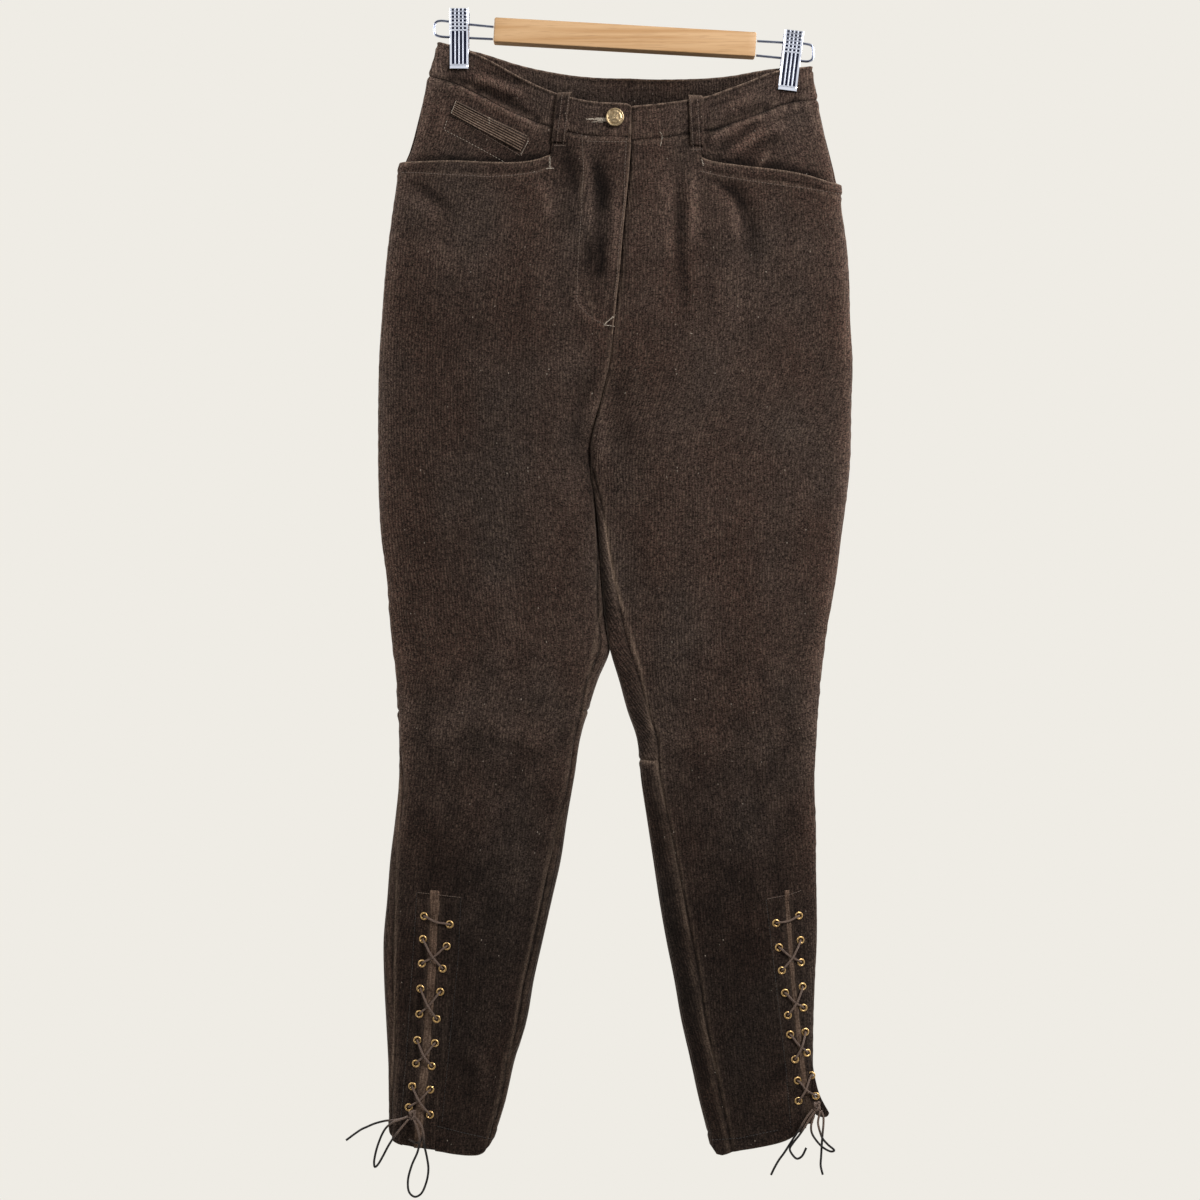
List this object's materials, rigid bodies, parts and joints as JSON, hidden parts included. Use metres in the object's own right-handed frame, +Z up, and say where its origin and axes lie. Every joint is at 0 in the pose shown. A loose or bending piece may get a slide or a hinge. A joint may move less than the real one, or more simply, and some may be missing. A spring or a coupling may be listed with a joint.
{
  "type": "lace-up corduroy pants on a clip hanger",
  "caption": "High-waisted corduroy pants with lace-up ankles, slanted ticket pocket, belt loops and a button fly, held by the waistband on a wooden bar hanger with spring clips.",
  "frame": {"origin": "middle of the top face of the hanger's wooden bar", "axes": "+Z up, the front of the pants faces -Y, +X to the wearer's left"},
  "size_m": [0.5044, 0.084, 1.1839],
  "materials": {
    "corduroy": "fine-wale cotton corduroy, dark brown, matt with a soft nap",
    "gusset_corduroy": "fine-wale corduroy, a little lighter where it hasn't worn",
    "brass": "antique brass, softly polished",
    "lace": "round waxed lace, dark brown",
    "beech": "lacquered beech",
    "chrome": "bright chromed steel"
  },
  "bodies": {
    "root": {"front_right": "corduroy", "back_upper_right": "corduroy", "back_lower_right": "corduroy", "hip_yoke_right": "corduroy", "waistband_right": "corduroy", "placket_right_outer": "corduroy", "placket_right_inner": "corduroy", "gusset_right": "gusset_corduroy", "front_left": "corduroy", "back_upper_left": "corduroy", "back_lower_left": "corduroy", "hip_yoke_left": "corduroy", "waistband_left": "corduroy", "placket_left_outer": "corduroy", "placket_left_inner": "corduroy", "gusset_left": "gusset_corduroy", "waistband_back": "corduroy", "ticket_pocket": "corduroy", "fly_facing": "corduroy", "belt_loop_front_right": "corduroy", "belt_loop_front_left": "corduroy", "belt_loop_back_right": "corduroy", "belt_loop_back_left": "corduroy", "belt_loop_centre_back": "corduroy", "waist_button": "brass", "lacing_right": "lace", "bow_knot_right": "lace", "bow_end_long_right": "lace", "bow_end_curl_right": "lace", "bow_loop_left_right": "lace", "bow_loop_low_right": "lace", "lacing_left": "lace", "bow_knot_left": "lace", "bow_end_long_left": "lace", "bow_end_hook_left": "lace", "bow_loop_right_left": "lace", "bow_end_short_left": "lace", "hanger_bar": "beech", "hanger_wire_right": "chrome", "hanger_wire_left": "chrome", "clip_right_front": "chrome", "clip_right_back": "chrome", "clip_right_spring": "chrome", "clip_left_front": "chrome", "clip_left_back": "chrome", "clip_left_spring": "chrome"}
  },
  "joints": []
}
